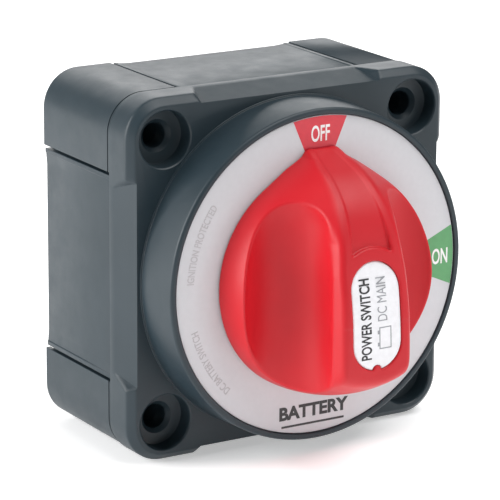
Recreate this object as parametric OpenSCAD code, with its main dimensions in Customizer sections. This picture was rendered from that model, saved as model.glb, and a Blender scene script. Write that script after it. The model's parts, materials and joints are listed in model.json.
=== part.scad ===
// Rotary battery master switch: square surface-mount case, removable cable covers, round dial
// and a pointer knob that turns a spring-loaded copper bridge between two stud terminals.
// The row frame has +Z up, the user's side towards -Y and the back face on the plane Y = 0.
// Every module is drawn in a working frame with x right, y up and z out from the back face,
// and to_front() turns that frame into the row frame.

/* [Case] */
// Width and height of the front housing
case_w = 98; // [96:0.5:100]
// Corner radius of the front housing
case_corner_r = 10.5; // [9:0.5:11]
// Depth of the rear base, from the back face to the seam
seam_z = 36.4; // [36:0.1:37]
// Depth of the front face
front_z = 47.1; // [46.8:0.1:48]
// Width of the bevel round the front face
front_bevel = 2; // [1.5:0.25:2.5]
// Thickness of the deck that carries the terminals
deck_t = 7; // [6.5:0.5:8]
// How far the rear base stands back from the front housing's sides
base_inset = 0.3; // [0.2:0.1:0.5]

/* [Mounting holes] */
// Distance between the mounting holes, across and up
mount_pitch = 76.4; // [76:0.1:77]
// Diameter of the mounting holes
mount_hole_d = 6.7; // [6.2:0.1:7]
// Diameter of the counterbores for the mounting screws
mount_cbore_d = 15; // [14:0.5:15]
// Depth of the counterbores
mount_cbore_depth = 5; // [4:0.5:5.5]

/* [Bezel and dial] */
// Diameter of the bezel where it leaves the front face
bezel_base_d = 91.2; // [91:0.1:91.6]
// Diameter of the bezel at its rim
bezel_rim_d = 89.8; // [89:0.1:90]
// Depth of the rim's top edge
rim_z = 61.6; // [61.4:0.1:61.8]
// Diameter of the printed dial
dial_d = 86.2; // [85:0.1:86.4]
// Depth of the dial's face
dial_z = 61.1; // [61:0.1:61.3]
// Thickness of the dial
dial_t = 1.2; // [1:0.1:1.4]

/* [Cable covers] */
// Gap between the two posts that hold a cover
cover_bay_w = 56.9; // [56.5:0.1:57.2]
// Visible gap between a cover and a post
cover_gap = 0.7; // [0.5:0.1:0.8]
// Thickness of a cover
cover_t = 2.3; // [2:0.1:2.4]

/* [Knob] */
// Diameter of the knob at the dial
knob_d = 61.6; // [60:0.2:62]
// Height of the knob above its base plane
knob_h = 28.55; // [28:0.05:29]
// How far the pointer reaches from the axis
nose_reach = 33.4; // [33:0.1:34]
// Width of the grip blade along its top
blade_w = 20.2; // [19.5:0.1:20.5]
// Radius of the finger scoops
scoop_r = 11.3; // [11:0.1:11.5]

/* [Terminals] */
// Distance between the two terminal studs
stud_pitch = 45; // [44:0.5:46]
// Diameter of the terminal studs
stud_d = 10; // [9.5:0.5:10]
// Depth at which the studs end, short of the back face
stud_end_z = 5; // [4:0.5:8]

/* [Hidden] */
$fn = 96;

eps = 0.01;
over = 1;
sides = [0, 90, 180, 270];
slate = [0.26, 0.29, 0.31];
signal_red = [0.83, 0.10, 0.14];
print_white = [0.86, 0.86, 0.87];
copper = [0.78, 0.46, 0.30];
steel = [0.70, 0.71, 0.73];
moulding_black = [0.10, 0.10, 0.11];
seal_black = [0.05, 0.05, 0.05];

case_half = case_w / 2;
base_half = case_half - base_inset;
base_corner_r = case_corner_r - base_inset;
mount_at = mount_pitch / 2;
mount_hole_r = mount_hole_d / 2;
mount_cbore_r = mount_cbore_d / 2;
cbore_floor_z = front_z - mount_cbore_depth;
countersink_r = mount_hole_r + 1.2;
bevel_start_z = front_z - front_bevel;
edge_flat_half = 27.5;
edge_flat_flare = 2.5;
edge_flat_inset = front_bevel + 0.25;
edge_flat_start_z = seam_z + 2.1;

// rotor chamber inside the front housing
chamber_r = 40;
chamber_top_z = 56.9;
dial_seat_z = dial_z - dial_t;
dial_bore_r = 12;
rim_round = 0.7;

// cable covers and the posts that guide them
bay_half = cover_bay_w / 2;
cover_half = bay_half - cover_gap;
cover_out = base_half - 0.5;
cover_in = cover_out - cover_t;
land_w = 2.6;
land_rise = 0.3;
tongue_in = cover_in + 0.15;
tongue_t = 1.2;
tongue_reach = 1.7;
tongue_clear = 0.15;
groove_depth = 1.3;
cover_back_z = 0.6;
cover_front_z = seam_z - 0.3;
deck_half = cover_in - 0.4;
deck_back_z = seam_z - deck_t;
post_wall = 2.6;
post_core_z = deck_back_z - 2.4;
mount_boss_r = mount_hole_r + 2.4;

// case screws, from inside the posts into the front housing
case_screw_at = 33;
case_screw_r = 1.5;
case_screw_head_r = 2.7;
case_screw_head_h = 2;
case_screw_head_z = 30;
case_screw_tip_z = cbore_floor_z - 0.8;
case_screw_boss_r = 4.4;
screw_clear = 0.06;

// flat seal between base and housing
gasket_in_r = 41.6;
gasket_out_r = 43.6;
gasket_t = 0.9;
gasket_clear = 0.1;

// terminals
stud_at = stud_pitch / 2;
stud_r = stud_d / 2;
shank_r = stud_r - 0.4;
stud_head_w = 15;
stud_head_t = 3;
stud_clear = 0.3;
stud_end_len = 11.4;
contact_near = 13.5;
contact_far = 31.5;
contact_w = 18;
contact_t = 2.5;
contact_top_z = seam_z + contact_t;
flat_washer_r = 10;
flat_washer_t = 2;
spring_washer_r = 9;
spring_washer_t = 2.4;
spring_washer_split = 1.2;
nut_flats = 17;
nut_t = 8;
washer_bore_r = stud_r + 0.25;
flat_washer_z = deck_back_z - flat_washer_t;
spring_washer_z = flat_washer_z - spring_washer_t;
nut_z = spring_washer_z - nut_t;

// rotor
bridge_half = 30;
bridge_w = 16;
bridge_t = 3;
bridge_z = contact_top_z + 0.05;
bridge_top_z = bridge_z + bridge_t;
carrier_r = 38.5;
carrier_z = 44.5;
carrier_t = 8;
carrier_top_z = carrier_z + carrier_t;
lug_t = 4;
lug_len = 20;
lug_clear = 0.2;
lug_back_z = contact_top_z + 0.7;
drive_square = 11;
shaft_r = 8;
shaft_clear = 0.05;
collar_r = 11;
knob_square = 9;
spindle_top_z = 71.5;

// contact springs and the pockets that hold them
contact_spring_at = 14;
contact_spring_r = 3.9;
contact_spring_wire_r = 0.45;
spring_pocket_r = 5.2;
spring_pocket_top_z = 49.5;
spring_gap = 0.05;

// ball detent against the chamber wall
ball_r = 2.5;
ball_travel = 0.6;
ball_clear = 0.05;
ball_at = chamber_r - ball_clear - ball_r;
ball_z = 48.5;
notch_r = ball_r + 0.15;
notch_half_len = 3.5;
ball_pocket_r = ball_r + 0.06;
ball_pocket_floor = 26.5;
detent_spring_r = 1.7;
detent_spring_wire_r = 0.25;

// shaft seal
seal_wire_r = 1.08;
seal_ring_r = shaft_r + 0.08 + seal_wire_r;
seal_groove_r = 10.4;
seal_groove_z = chamber_top_z + 0.3;
seal_groove_top_z = seal_groove_z + 2.2;

// knob
knob_base_z = dial_z + 0.4;
knob_top_z = knob_base_z + knob_h;
knob_r = knob_d / 2;
knob_draft = 4.2;
nose_half_w = 5.5;
nose_corner_r = 2;
scoop_at = 21.3;
scoop_wall = scoop_at - scoop_r;
scoop_z = dial_z + 18.8;
shoulder_drop = 4.6;
shoulder_w = 1.35;

// side view of the grip: a long flat arc on top, a short one at the heel, and one that runs
// down into the straight slope behind the pointer's tip
arch_top_r = 108;
arch_top_at = -15.5;
arch_heel_r = 12;
arch_heel_at = 1 - knob_r + arch_heel_r;
arch_nose_r = 27;
arch_nose_at = 6;
arch_nose_z = knob_top_z - 29.85;
nose_slope = 78;
nose_slope_at = arch_nose_at + arch_nose_r * sin(nose_slope);
nose_slope_z = arch_nose_z + arch_nose_r * cos(nose_slope);
knob_wall = 2.6;
skirt_cavity_r = knob_r - 3;
skirt_cavity_h = 5.5;
hub_r = 9.5;
blade_cavity_top_z = knob_top_z - 7.2;
blade_cavity_back = -21;
blade_cavity_front = 12;
rib_half_t = 1.1;

// label insert and the screw below it
label_w = 14.6;
label_len = 28.2;
label_at = -4.15;
label_t = 1.4;
label_sink = 0.5;
label_clear = 0.1;
label_tilt = 6.03;
pry_notch_r = 1.3;
knob_screw_seat_z = spindle_top_z + 3.1;
knob_screw_head_r = 4;
knob_screw_head_h = 2.6;
knob_screw_r = 2;
knob_screw_tip_z = 63;

module to_front() {
  rotate([90, 0, 0]) children();
}

module at_corners(distance) {
  for (turn = sides)
    rotate([0, 0, turn])
      translate([distance, distance, 0]) children();
}

module round_square(half, r) {
  square([2 * half, 2 * (half - r)], center = true);
  square([2 * (half - r), 2 * half], center = true);
  for (turn = sides)
    rotate(turn)
      translate([half - r, half - r]) circle(r);
}

// straight slab of a rounded square between two depths
module slab(half, r, z0, z1) {
  translate([0, 0, z0])
    linear_extrude(z1 - z0) round_square(half, r);
}

module rod(r, z0, z1) {
  translate([0, 0, z0]) cylinder(r = r, h = z1 - z0);
}

module block(x, y, z0, z1) {
  translate([-x / 2, -y / 2, z0]) cube([x, y, z1 - z0]);
}

// round wire swept along a helix that starts at the origin and climbs along +z
function helix_point(i, steps, turns, r, h) =
  [r * cos(360 * turns * i / steps), r * sin(360 * turns * i / steps), h * i / steps];

function wire_ring(i, steps, turns, r, h, wire_r, ring_sides) =
  let (p = helix_point(i, steps, turns, r, h), a = 360 * turns * i / steps)
  [for (k = [0 : ring_sides - 1])
    let (b = 360 * k / ring_sides)
    p + wire_r * [cos(b) * cos(a), cos(b) * sin(a), sin(b)]];

module coil_spring(r, wire_r, h, turns, ring_sides) {
  steps = turns * 16;
  climb = h - 2 * wire_r;
  points = [for (i = [0 : steps]) each wire_ring(i, steps, turns, r, climb, wire_r, ring_sides)];
  walls = [for (i = [0 : steps - 1], k = [0 : ring_sides - 1])
    let (n = (k + 1) % ring_sides, a = i * ring_sides, b = a + ring_sides)
    [a + k, b + k, b + n, a + n]];
  first_cap = [for (k = [0 : ring_sides - 1]) k];
  last_cap = [for (k = [ring_sides - 1 : -1 : 0]) steps * ring_sides + k];
  translate([0, 0, wire_r])
    polyhedron(points, concat([first_cap], walls, [last_cap]), convexity = 10);
}

// front housing: plate with bevelled edge, bezel cylinder and the rotor chamber inside
module front_plate() {
  slab(case_half, case_corner_r, seam_z, bevel_start_z);
  hull() {
    slab(case_half, case_corner_r, bevel_start_z, bevel_start_z + eps);
    slab(case_half - front_bevel, case_corner_r - front_bevel, front_z - eps, front_z);
  }
}

// flat that runs from just in front of the seam to the bevel's inner edge, between the corners
module edge_flat() {
  start_half = edge_flat_half - edge_flat_flare;
  inner = case_half - edge_flat_inset;
  outer = case_half + over;
  hull() {
    translate([-start_half, case_half, edge_flat_start_z])
      cube([2 * start_half, over, eps]);
    translate([-edge_flat_half, inner, front_z])
      cube([2 * edge_flat_half, outer - inner, over]);
  }
}

module bezel() {
  base_r = bezel_base_d / 2;
  rim_r = bezel_rim_d / 2;
  dial_r = dial_d / 2;
  rotate_extrude()
    polygon([[0, chamber_top_z], [chamber_r, chamber_top_z], [chamber_r, seam_z + 2],
      [base_r, seam_z + 2], [base_r, front_z], [rim_r, rim_z - rim_round],
      [rim_r - rim_round, rim_z], [dial_r + rim_round, rim_z], [dial_r + 0.1, rim_z - rim_round],
      [dial_r + 0.1, dial_seat_z], [0, dial_seat_z]]);
}

module front_housing() {
  color(slate) to_front() difference() {
    union() {
      difference() {
        front_plate();
        rod(bezel_base_d / 2 - over, seam_z - over, front_z + over);
      }
      rod(bezel_base_d / 2 - over, seam_z, front_z);
      bezel();
    }
    rod(chamber_r, seam_z - over, chamber_top_z);
    for (turn = sides)
      rotate([0, 0, turn]) edge_flat();
    at_corners(mount_at) {
      rod(mount_hole_r, seam_z - over, front_z);
      translate([0, 0, cbore_floor_z - 1.2 + eps])
        cylinder(r1 = mount_hole_r, r2 = countersink_r, h = 1.2);
      rod(mount_cbore_r, cbore_floor_z, front_z + over);
    }
    at_corners(case_screw_at)
      rod(case_screw_r + screw_clear, seam_z - over, case_screw_tip_z + 0.2);
    rod(shaft_r + shaft_clear, chamber_top_z - over, dial_seat_z + over);
    rod(seal_groove_r, seal_groove_z, seal_groove_top_z);
    for (turn = sides)
      rotate([0, 0, turn])
        translate([ball_at + ball_travel, 0, 0])
          rod(notch_r, ball_z - notch_half_len, ball_z + notch_half_len);
  }
}

// rear base: deck for the terminals and four hollow posts that reach the back face
module post_blank() {
  intersection() {
    slab(base_half, base_corner_r, 0, seam_z);
    translate([bay_half, bay_half, 0]) cube([case_half, case_half, seam_z]);
  }
}

module post_core() {
  difference() {
    intersection() {
      slab(base_half - post_wall, base_corner_r - post_wall, -over, post_core_z);
      translate([bay_half + post_wall, bay_half + post_wall, -over])
        cube([case_half, case_half, post_core_z + over]);
    }
    translate([mount_at, mount_at, 0]) rod(mount_boss_r, -over, post_core_z);
    translate([case_screw_at, case_screw_at, 0]) rod(case_screw_boss_r, -over, post_core_z);
  }
}

// grooves for the cover tongues, one on each inner side of a post
module post_grooves() {
  groove_in = tongue_in - tongue_clear;
  groove_w = tongue_t + 2 * tongue_clear;
  translate([bay_half - over, groove_in, -over])
    cube([groove_depth + over, groove_w, seam_z + 2 * over]);
  translate([groove_in, bay_half - over, -over])
    cube([groove_w, groove_depth + over, seam_z + 2 * over]);
}

module contact_pads() {
  for (side = [-1, 1])
    translate([0, side * (contact_near + contact_far) / 2, 0])
      block(contact_w, contact_far - contact_near, seam_z, contact_top_z);
}

module rear_base() {
  color(slate) to_front() difference() {
    union() {
      block(2 * deck_half, 2 * bay_half + 2, deck_back_z, seam_z);
      block(2 * bay_half + 2, 2 * deck_half, deck_back_z, seam_z);
      for (turn = sides)
        rotate([0, 0, turn]) difference() {
          post_blank();
          post_core();
          post_grooves();
        }
      contact_pads();
    }
    at_corners(mount_at) rod(mount_hole_r, -over, seam_z + over);
    at_corners(case_screw_at) {
      rod(case_screw_head_r + 0.2, -over, case_screw_head_z);
      rod(case_screw_r + screw_clear, case_screw_head_z - over, seam_z + over);
    }
    difference() {
      rod(gasket_out_r + gasket_clear, seam_z - gasket_t, seam_z + over);
      rod(gasket_in_r - gasket_clear, seam_z - gasket_t - over, seam_z + 2 * over);
    }
    for (side = [-1, 1])
      translate([side * stud_at, 0, 0]) {
        rod(stud_r + stud_clear / 2, deck_back_z - over, seam_z);
        block(stud_head_w + stud_clear, stud_head_w + stud_clear,
          seam_z - stud_head_t, seam_z + over);
      }
  }
}

// removable cover, drawn as the top one
module side_panel() {
  translate([-cover_half, cover_in, cover_back_z])
    cube([2 * cover_half, cover_t, cover_front_z - cover_back_z]);
  for (side = [-1, 1]) {
    translate([side * (cover_half - land_w / 2) - land_w / 2, cover_in, cover_back_z])
      cube([land_w, cover_t + land_rise, cover_front_z - cover_back_z]);
    translate([side * cover_half - tongue_reach, tongue_in, cover_back_z])
      cube([2 * tongue_reach, tongue_t, cover_front_z - cover_back_z]);
    translate([side * 9 - 0.6, cover_in - 1, 3]) cube([1.2, 1 + eps, 24]);
  }
}

module side_panel_top() {
  color(slate) to_front() side_panel();
}

module side_panel_left() {
  color(slate) to_front() rotate([0, 0, 90]) side_panel();
}

module side_panel_bottom() {
  color(slate) to_front() rotate([0, 0, 180]) side_panel();
}

module side_panel_right() {
  color(slate) to_front() rotate([0, 0, 270]) side_panel();
}

module housing_gasket() {
  color(seal_black) to_front() difference() {
    rod(gasket_out_r, seam_z - gasket_t, seam_z);
    rod(gasket_in_r, seam_z - gasket_t - over, seam_z + over);
  }
}

module housing_screws() {
  color(steel) to_front() at_corners(case_screw_at) difference() {
    union() {
      rod(case_screw_head_r, case_screw_head_z - case_screw_head_h, case_screw_head_z);
      rod(case_screw_r, case_screw_head_z - eps, case_screw_tip_z);
    }
    translate([0, 0, case_screw_head_z - case_screw_head_h - eps]) {
      block(3, 0.7, 0, 1.1);
      block(0.7, 3, 0, 1.1);
    }
  }
}

module dial_plate() {
  color(print_white) to_front() difference() {
    rod(dial_d / 2, dial_seat_z, dial_z);
    rod(dial_bore_r, dial_seat_z - over, dial_z + over);
  }
}

module shaft_seal() {
  color(seal_black) to_front()
    translate([0, 0, (seal_groove_z + seal_groove_top_z) / 2])
      rotate_extrude()
        translate([seal_ring_r, 0]) circle(seal_wire_r, $fn = 32);
}

// knob outline in plan: a circle with a pointer, drawn smaller towards the top
module knob_outline(shrink) {
  circle(knob_r - shrink, $fn = 64);
  for (side = [-1, 1])
    translate([side * (nose_half_w - nose_corner_r - shrink / 3),
      nose_reach - nose_corner_r - shrink / 4]) circle(nose_corner_r, $fn = 24);
}

module knob_loaf() {
  hull() {
    translate([0, 0, knob_base_z]) linear_extrude(eps) knob_outline(0);
    translate([0, 0, knob_top_z]) linear_extrude(eps) knob_outline(knob_draft);
  }
}

module arch_profile() {
  heel_z = knob_top_z - arch_heel_r;
  heel_back = arch_heel_at - arch_heel_r;
  nose_front = nose_reach + over;
  nose_front_z = nose_slope_z - (nose_front - nose_slope_at) * tan(nose_slope);
  intersection() {
    union() {
      translate([arch_heel_at, heel_z]) circle(arch_heel_r);
      translate([arch_nose_at, arch_nose_z]) circle(arch_nose_r);
      translate([arch_heel_at, 0]) square([arch_nose_at - arch_heel_at + 5.5, knob_top_z]);
      translate([heel_back, 0]) square([arch_nose_at - heel_back, heel_z]);
      polygon([[arch_nose_at, 0], [nose_front, 0], [nose_front, nose_front_z],
        [nose_slope_at, nose_slope_z], [arch_nose_at, arch_nose_z]]);
    }
    translate([arch_top_at, knob_top_z - arch_top_r]) circle(arch_top_r);
  }
}

module arch_prism() {
  translate([-case_half, 0, 0])
    rotate([90, 0, 90]) linear_extrude(case_w) arch_profile();
}

// finger scoop, one side, cut straight along the blade, with the shoulder above it
module scoop_cut() {
  shoulder_z = knob_top_z - shoulder_drop;
  blade_half = blade_w / 2;
  rotate([90, 0, 0])
    translate([0, 0, -case_half])
      linear_extrude(case_w) {
        translate([scoop_at, scoop_z]) circle(scoop_r);
        polygon([[scoop_at, scoop_z], [blade_half + shoulder_w, shoulder_z],
          [blade_half, knob_top_z], [blade_half, knob_top_z + over],
          [case_half, knob_top_z + over], [case_half, scoop_z]]);
      }
}

module label_outline(clear) {
  end_r = label_w / 2;
  run = label_len - label_w;
  difference() {
    union() {
      square([label_w + 2 * clear, run], center = true);
      for (side = [-1, 1])
        translate([0, side * run / 2]) circle(end_r + clear);
    }
    translate([0, -label_len / 2]) circle(pry_notch_r - clear);
  }
}

module arch_rod(r) {
  translate([0, arch_top_at, knob_top_z - arch_top_r])
    rotate([0, 90, 0]) rod(r, -label_w, label_w);
}

// part of the label's outline between two depths below the knob's skin, curved like the skin
module label_blank(clear, top, bottom) {
  difference() {
    intersection() {
      translate([0, label_at, knob_top_z - bottom - 2 * over])
        rotate([-label_tilt, 0, 0])
          linear_extrude(bottom - top + 4 * over) label_outline(clear);
      arch_rod(arch_top_r - top);
    }
    arch_rod(arch_top_r - bottom);
  }
}

module knob_hollow() {
  difference() {
    union() {
      rod(skirt_cavity_r, knob_base_z - over, knob_base_z + skirt_cavity_h);
      translate([-(scoop_wall - knob_wall), blade_cavity_back, knob_base_z])
        cube([2 * (scoop_wall - knob_wall), blade_cavity_front - blade_cavity_back,
          blade_cavity_top_z - knob_base_z]);
    }
    rod(hub_r, knob_base_z - 2 * over, knob_top_z);
    translate([-rib_half_t, blade_cavity_back - over, knob_base_z - 2 * over])
      cube([2 * rib_half_t, blade_cavity_front - blade_cavity_back + 2 * over, knob_h]);
  }
}

module knob() {
  color(signal_red) to_front() difference() {
    intersection() {
      knob_loaf();
      arch_prism();
    }
    scoop_cut();
    mirror([1, 0, 0]) scoop_cut();
    label_blank(label_clear, -3, label_sink + label_t);
    knob_hollow();
    block(knob_square, knob_square, knob_base_z - over, spindle_top_z + 0.1);
    rod(knob_screw_r + 0.2, spindle_top_z, knob_screw_seat_z + over);
    rod(knob_screw_head_r + 0.4, knob_screw_seat_z, knob_top_z + over);
  }
}

module knob_label() {
  color(print_white) to_front()
    label_blank(0, label_sink, label_sink + label_t);
}

module knob_screw() {
  color(steel) to_front() difference() {
    union() {
      rod(knob_screw_head_r, knob_screw_seat_z, knob_screw_seat_z + knob_screw_head_h);
      rod(knob_screw_r, knob_screw_tip_z, knob_screw_seat_z + eps);
    }
    block(4.4, 1, knob_screw_seat_z + 1.2, knob_top_z);
    block(1, 4.4, knob_screw_seat_z + 1.2, knob_top_z);
  }
}

module spindle() {
  color(steel) to_front() difference() {
    union() {
      block(drive_square, drive_square, carrier_z, carrier_top_z + eps);
      rod(collar_r, carrier_top_z, chamber_top_z - 0.1);
      rod(shaft_r, chamber_top_z - 0.1 - eps, knob_base_z - 0.1);
      block(knob_square, knob_square, knob_base_z - 0.1 - eps, spindle_top_z);
    }
    rod(knob_screw_r + screw_clear, knob_screw_tip_z - over, spindle_top_z + over);
  }
}

module ball_pocket() {
  rotate([0, 90, 0])
    rod(ball_pocket_r, ball_pocket_floor, carrier_r + over);
}

module contact_carrier() {
  color(moulding_black) to_front() difference() {
    union() {
      rod(carrier_r, carrier_z, carrier_top_z);
      for (side = [-1, 1])
        translate([side * (bridge_w / 2 + lug_clear + lug_t / 2), 0, 0])
          block(lug_t, lug_len, lug_back_z, carrier_z + eps);
    }
    block(drive_square, drive_square, carrier_z - over, carrier_top_z + over);
    for (side = [-1, 1])
      translate([0, side * contact_spring_at, 0])
        rod(spring_pocket_r, carrier_z - over, spring_pocket_top_z);
    for (turn = [0, 180])
      rotate([0, 0, turn]) translate([0, 0, ball_z]) ball_pocket();
  }
}

module moving_contact() {
  color(copper) to_front() intersection() {
    block(bridge_w, 2 * bridge_half, bridge_z, bridge_top_z);
    rod(bridge_half, bridge_z - over, bridge_top_z + over);
  }
}

module contact_springs() {
  spring_h = spring_pocket_top_z - bridge_top_z - 2 * spring_gap;
  color(steel) to_front()
    for (side = [-1, 1])
      translate([0, side * contact_spring_at, bridge_top_z + spring_gap])
        coil_spring(contact_spring_r, contact_spring_wire_r, spring_h, 5, 8);
}

module detent_ball(side) {
  color(steel) to_front()
    translate([side * ball_at, 0, ball_z]) sphere(ball_r);
}

module detent_ball_left() {
  detent_ball(-1);
}

module detent_ball_right() {
  detent_ball(1);
}

module detent_springs() {
  spring_h = ball_at - ball_r - ball_pocket_floor - 2 * spring_gap;
  color(steel) to_front()
    for (turn = [0, 180])
      rotate([0, 0, turn])
        translate([ball_pocket_floor + spring_gap, 0, ball_z])
          rotate([0, 90, 0])
            coil_spring(detent_spring_r, detent_spring_wire_r, spring_h, 5, 6);
}

module fixed_contact(side) {
  color(copper) to_front()
    translate([side * (contact_near + contact_far) / 2, 0, 0])
      block(contact_far - contact_near, contact_w, seam_z, contact_top_z);
}

module fixed_contact_left() {
  fixed_contact(-1);
}

module fixed_contact_right() {
  fixed_contact(1);
}

module terminal_stud(side) {
  color(copper) to_front()
    translate([side * stud_at, 0, 0]) {
      block(stud_head_w, stud_head_w, seam_z - stud_head_t, seam_z);
      rod(shank_r, stud_end_z + stud_end_len - eps, seam_z - stud_head_t + eps);
      rod(stud_r, stud_end_z + 1, stud_end_z + stud_end_len);
      translate([0, 0, stud_end_z]) cylinder(r1 = stud_r - 1, r2 = stud_r, h = 1);
    }
}

module terminal_stud_left() {
  terminal_stud(-1);
}

module terminal_stud_right() {
  terminal_stud(1);
}

module at_studs() {
  for (side = [-1, 1])
    translate([side * stud_at, 0, 0]) children();
}

module flat_washers() {
  color(steel) to_front() at_studs() difference() {
    rod(flat_washer_r, flat_washer_z, deck_back_z);
    rod(washer_bore_r, flat_washer_z - over, deck_back_z + over);
  }
}

module spring_washers() {
  color(steel) to_front() at_studs() difference() {
    rod(spring_washer_r, spring_washer_z, flat_washer_z);
    rod(washer_bore_r, spring_washer_z - over, flat_washer_z + over);
    translate([0, -spring_washer_split / 2, spring_washer_z - over])
      cube([flat_washer_r, spring_washer_split, spring_washer_t + 2 * over]);
  }
}

module stud_nuts() {
  color(steel) to_front() at_studs() difference() {
    translate([0, 0, nut_z])
      cylinder(r = nut_flats / 2 / cos(30), h = nut_t, $fn = 6);
    rod(shank_r, nut_z - over, spring_washer_z + over);
  }
}

front_housing();
rear_base();
side_panel_top();
side_panel_right();
side_panel_bottom();
side_panel_left();
housing_gasket();
housing_screws();
dial_plate();
shaft_seal();
knob();
knob_label();
knob_screw();
spindle();
contact_carrier();
moving_contact();
contact_springs();
detent_ball_left();
detent_ball_right();
detent_springs();
fixed_contact_left();
fixed_contact_right();
terminal_stud_left();
terminal_stud_right();
flat_washers();
spring_washers();
stud_nuts();
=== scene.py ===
import json
import math

import bmesh
import bpy
import numpy as np
from mathutils import Matrix, Vector


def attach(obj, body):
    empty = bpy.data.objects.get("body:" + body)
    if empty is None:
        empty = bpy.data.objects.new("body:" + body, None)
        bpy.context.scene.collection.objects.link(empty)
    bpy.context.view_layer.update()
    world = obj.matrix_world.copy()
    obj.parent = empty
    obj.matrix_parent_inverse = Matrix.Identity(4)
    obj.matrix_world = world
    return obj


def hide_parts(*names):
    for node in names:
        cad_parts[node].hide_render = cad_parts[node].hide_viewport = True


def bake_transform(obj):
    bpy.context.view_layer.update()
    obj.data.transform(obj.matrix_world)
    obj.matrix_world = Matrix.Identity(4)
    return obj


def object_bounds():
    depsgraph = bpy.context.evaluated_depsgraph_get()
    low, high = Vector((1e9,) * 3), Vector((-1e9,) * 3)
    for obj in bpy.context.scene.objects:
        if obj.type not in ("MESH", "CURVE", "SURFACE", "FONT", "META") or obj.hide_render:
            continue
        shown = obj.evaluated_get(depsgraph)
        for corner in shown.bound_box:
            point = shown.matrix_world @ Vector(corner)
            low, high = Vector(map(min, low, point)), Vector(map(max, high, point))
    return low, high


# The switch is drawn in millimetres in a working frame with x right, y up and z out from
# the back face; row() turns it into the row frame in metres.

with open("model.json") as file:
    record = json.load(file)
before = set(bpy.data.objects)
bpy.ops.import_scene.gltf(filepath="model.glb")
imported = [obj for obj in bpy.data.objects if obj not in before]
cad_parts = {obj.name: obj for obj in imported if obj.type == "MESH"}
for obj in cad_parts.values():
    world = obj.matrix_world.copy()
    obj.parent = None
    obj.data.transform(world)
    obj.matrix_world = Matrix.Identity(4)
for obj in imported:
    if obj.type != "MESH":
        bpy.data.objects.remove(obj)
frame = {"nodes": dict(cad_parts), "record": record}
cad_low, cad_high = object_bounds()

MM = 0.001

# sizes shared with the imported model
CASE_HALF = 49.0
CASE_R = 10.5
BASE_HALF = 48.7
SEAM = 36.4
FRONT = 47.1
MOUNT_AT = 38.2
MOUNT_R = 3.35
CBORE_R = 7.5
CBORE_FLOOR = FRONT - 5.0
CASE_SCREW_AT = 33.0
CHAMBER_R = 40.0
CHAMBER_TOP = 56.9
RIM = 61.6
DIAL_R = 43.1
DIAL = 61.1
DIAL_SEAT = DIAL - 1.2
BAY_HALF = 28.45
COVER_HALF = BAY_HALF - 0.85
COVER_OUT = BASE_HALF - 0.5
COVER_IN = COVER_OUT - 2.3
KNOB_BASE = DIAL + 0.4
LABEL_AT = -4.15
LABEL_LONG = 28.2


# ---------------------------------------------------------------- mesh helpers

def row(points):
    """Working frame in millimetres to row frame in metres."""
    p = np.asarray(points, float).reshape(-1, 3)
    return np.stack([p[:, 0], -p[:, 2], p[:, 1]], 1) * MM


def make(name, points, faces, smooth=35):
    """Object with its mesh from working-frame points and faces."""
    mesh = bpy.data.meshes.new(name)
    mesh.from_pydata(row(points).tolist(), [], [list(f) for f in faces])
    mesh.validate()
    mesh.update()
    piece = bpy.data.objects.new(name, mesh)
    bpy.context.scene.collection.objects.link(piece)
    face_out(piece)
    shade(piece, smooth)
    return piece


def face_out(piece):
    """Turns every face outwards."""
    bm = bmesh.new()
    bm.from_mesh(piece.data)
    bmesh.ops.recalc_face_normals(bm, faces=bm.faces)
    bm.to_mesh(piece.data)
    bm.free()


def shade(piece, angle):
    """Smooth shading, with edges sharper than the angle kept sharp."""
    for p in piece.data.polygons:
        p.use_smooth = True
    if angle:
        piece.data.set_sharp_from_angle(angle=math.radians(angle))


def bake(piece):
    """Applies the modifiers of a piece to its mesh."""
    graph = bpy.context.evaluated_depsgraph_get()
    mesh = bpy.data.meshes.new_from_object(piece.evaluated_get(graph))
    piece.modifiers.clear()
    piece.data = mesh
    return piece


def bevel(piece, width, segments=3, angle=30, smooth=35):
    """Rounds the edges of a piece that are sharper than the angle."""
    mod = piece.modifiers.new("edge", "BEVEL")
    mod.width = width * MM
    mod.segments = segments
    mod.limit_method = "ANGLE"
    mod.angle_limit = math.radians(angle)
    mod.use_clamp_overlap = True
    bake(piece)
    shade(piece, smooth)
    return piece


def combine(piece, other, how):
    """Boolean of a piece with another, which is used up."""
    mod = piece.modifiers.new("cut", "BOOLEAN")
    mod.operation = how
    mod.object = other
    mod.solver = "MANIFOLD"
    bpy.context.view_layer.update()
    bake(piece)
    bpy.data.objects.remove(other)
    return piece


def cut(piece, *others):
    """Takes the other pieces away from a piece."""
    for other in others:
        combine(piece, other, "DIFFERENCE")
    return piece


def lathe(name, profile, centre=(0, 0), sides=96, closed=True, smooth=35):
    """Profile points (r, z) turned round the z axis; a point with r 0 becomes one vertex."""
    points = []
    rings = []
    for r, z in profile:
        if r < 1e-6:
            rings.append([len(points)] * sides)
            points.append((centre[0], centre[1], z))
            continue
        rings.append(list(range(len(points), len(points) + sides)))
        for i in range(sides):
            a = 2 * math.pi * i / sides
            points.append((centre[0] + r * math.cos(a), centre[1] + r * math.sin(a), z))
    faces = []
    pairs = list(zip(rings, rings[1:]))
    if closed:
        pairs.append((rings[-1], rings[0]))
    for a, b in pairs:
        for i in range(sides):
            n = (i + 1) % sides
            corners = [a[i], a[n], b[n], b[i]]
            face = [c for k, c in enumerate(corners) if c != corners[k - 1]]
            if len(face) > 2:
                faces.append(face)
    return make(name, points, faces, smooth)


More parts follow.
